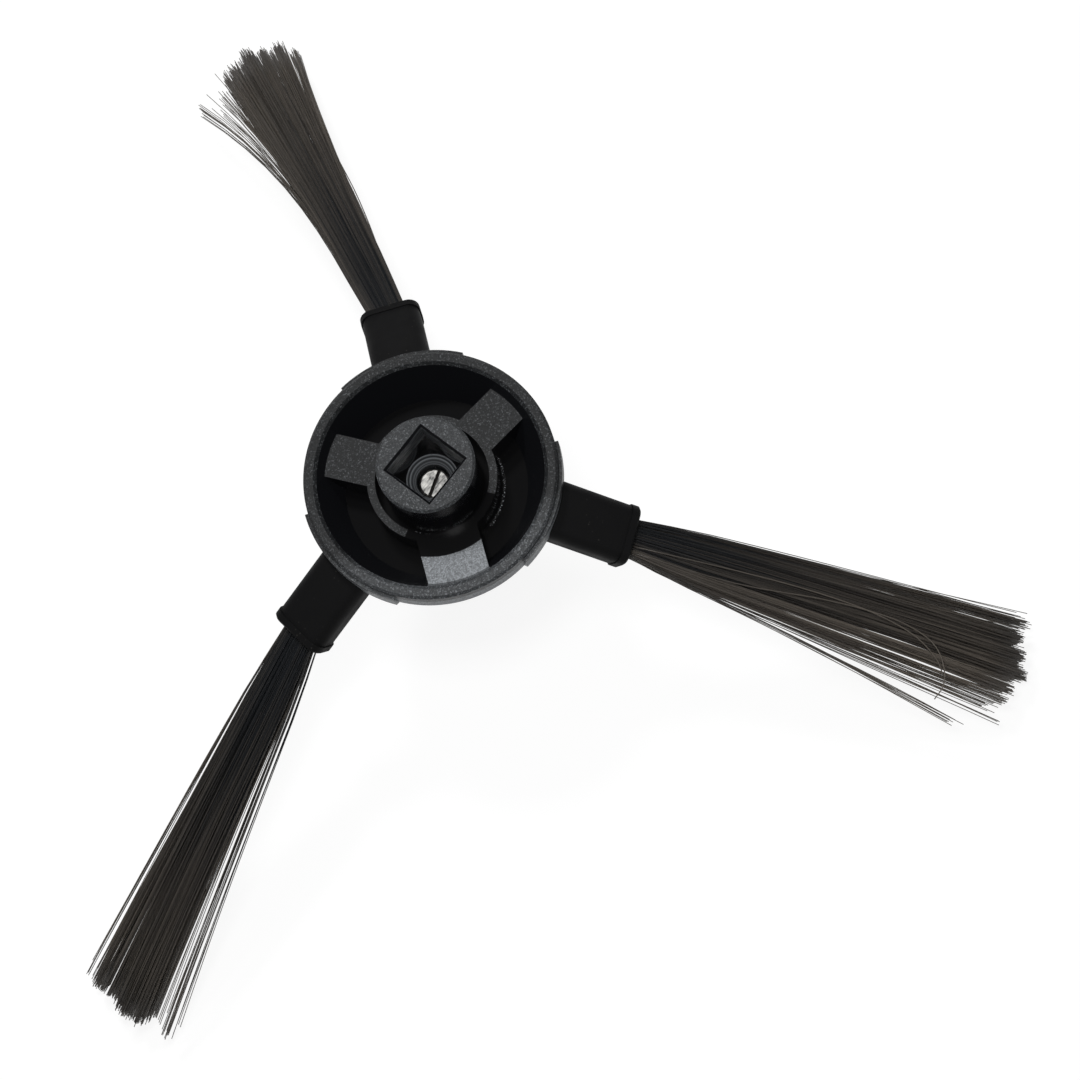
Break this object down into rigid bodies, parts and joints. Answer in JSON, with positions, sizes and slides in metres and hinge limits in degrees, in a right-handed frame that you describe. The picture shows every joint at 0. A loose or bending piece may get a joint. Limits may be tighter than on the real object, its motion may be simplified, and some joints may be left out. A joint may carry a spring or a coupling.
{
  "type": "robot vacuum side brush",
  "caption": "Side brush of a robot vacuum: a two-shell plastic hub with a square drive socket, rubber sleeves and drooping nylon bristle tufts that sweep debris inwards.",
  "frame": {"origin": "centre of the square drive socket's mouth, on the boss's top face", "axes": "+Z along the drive axis towards the motor; X and Y square to the flats of the drive socket"},
  "size_m": [0.1149, 0.1376, 0.036],
  "materials": {
    "hub_plastic": "fine spark-eroded texture, dark grey",
    "sleeve_rubber": "moulded matt black",
    "bristle_nylon": "drawn nylon, dark brown-black",
    "screw_steel": "scratched bare steel"
  },
  "bodies": {
    "root": {"hub_cup": "hub_plastic", "hub_base": "hub_plastic", "sleeve_1": "sleeve_rubber", "sleeve_2": "sleeve_rubber", "sleeve_3": "sleeve_rubber", "bristle_tuft_1": "bristle_nylon", "bristle_tuft_2": "bristle_nylon", "bristle_tuft_3": "bristle_nylon", "fixing_screw": "screw_steel"}
  },
  "joints": []
}
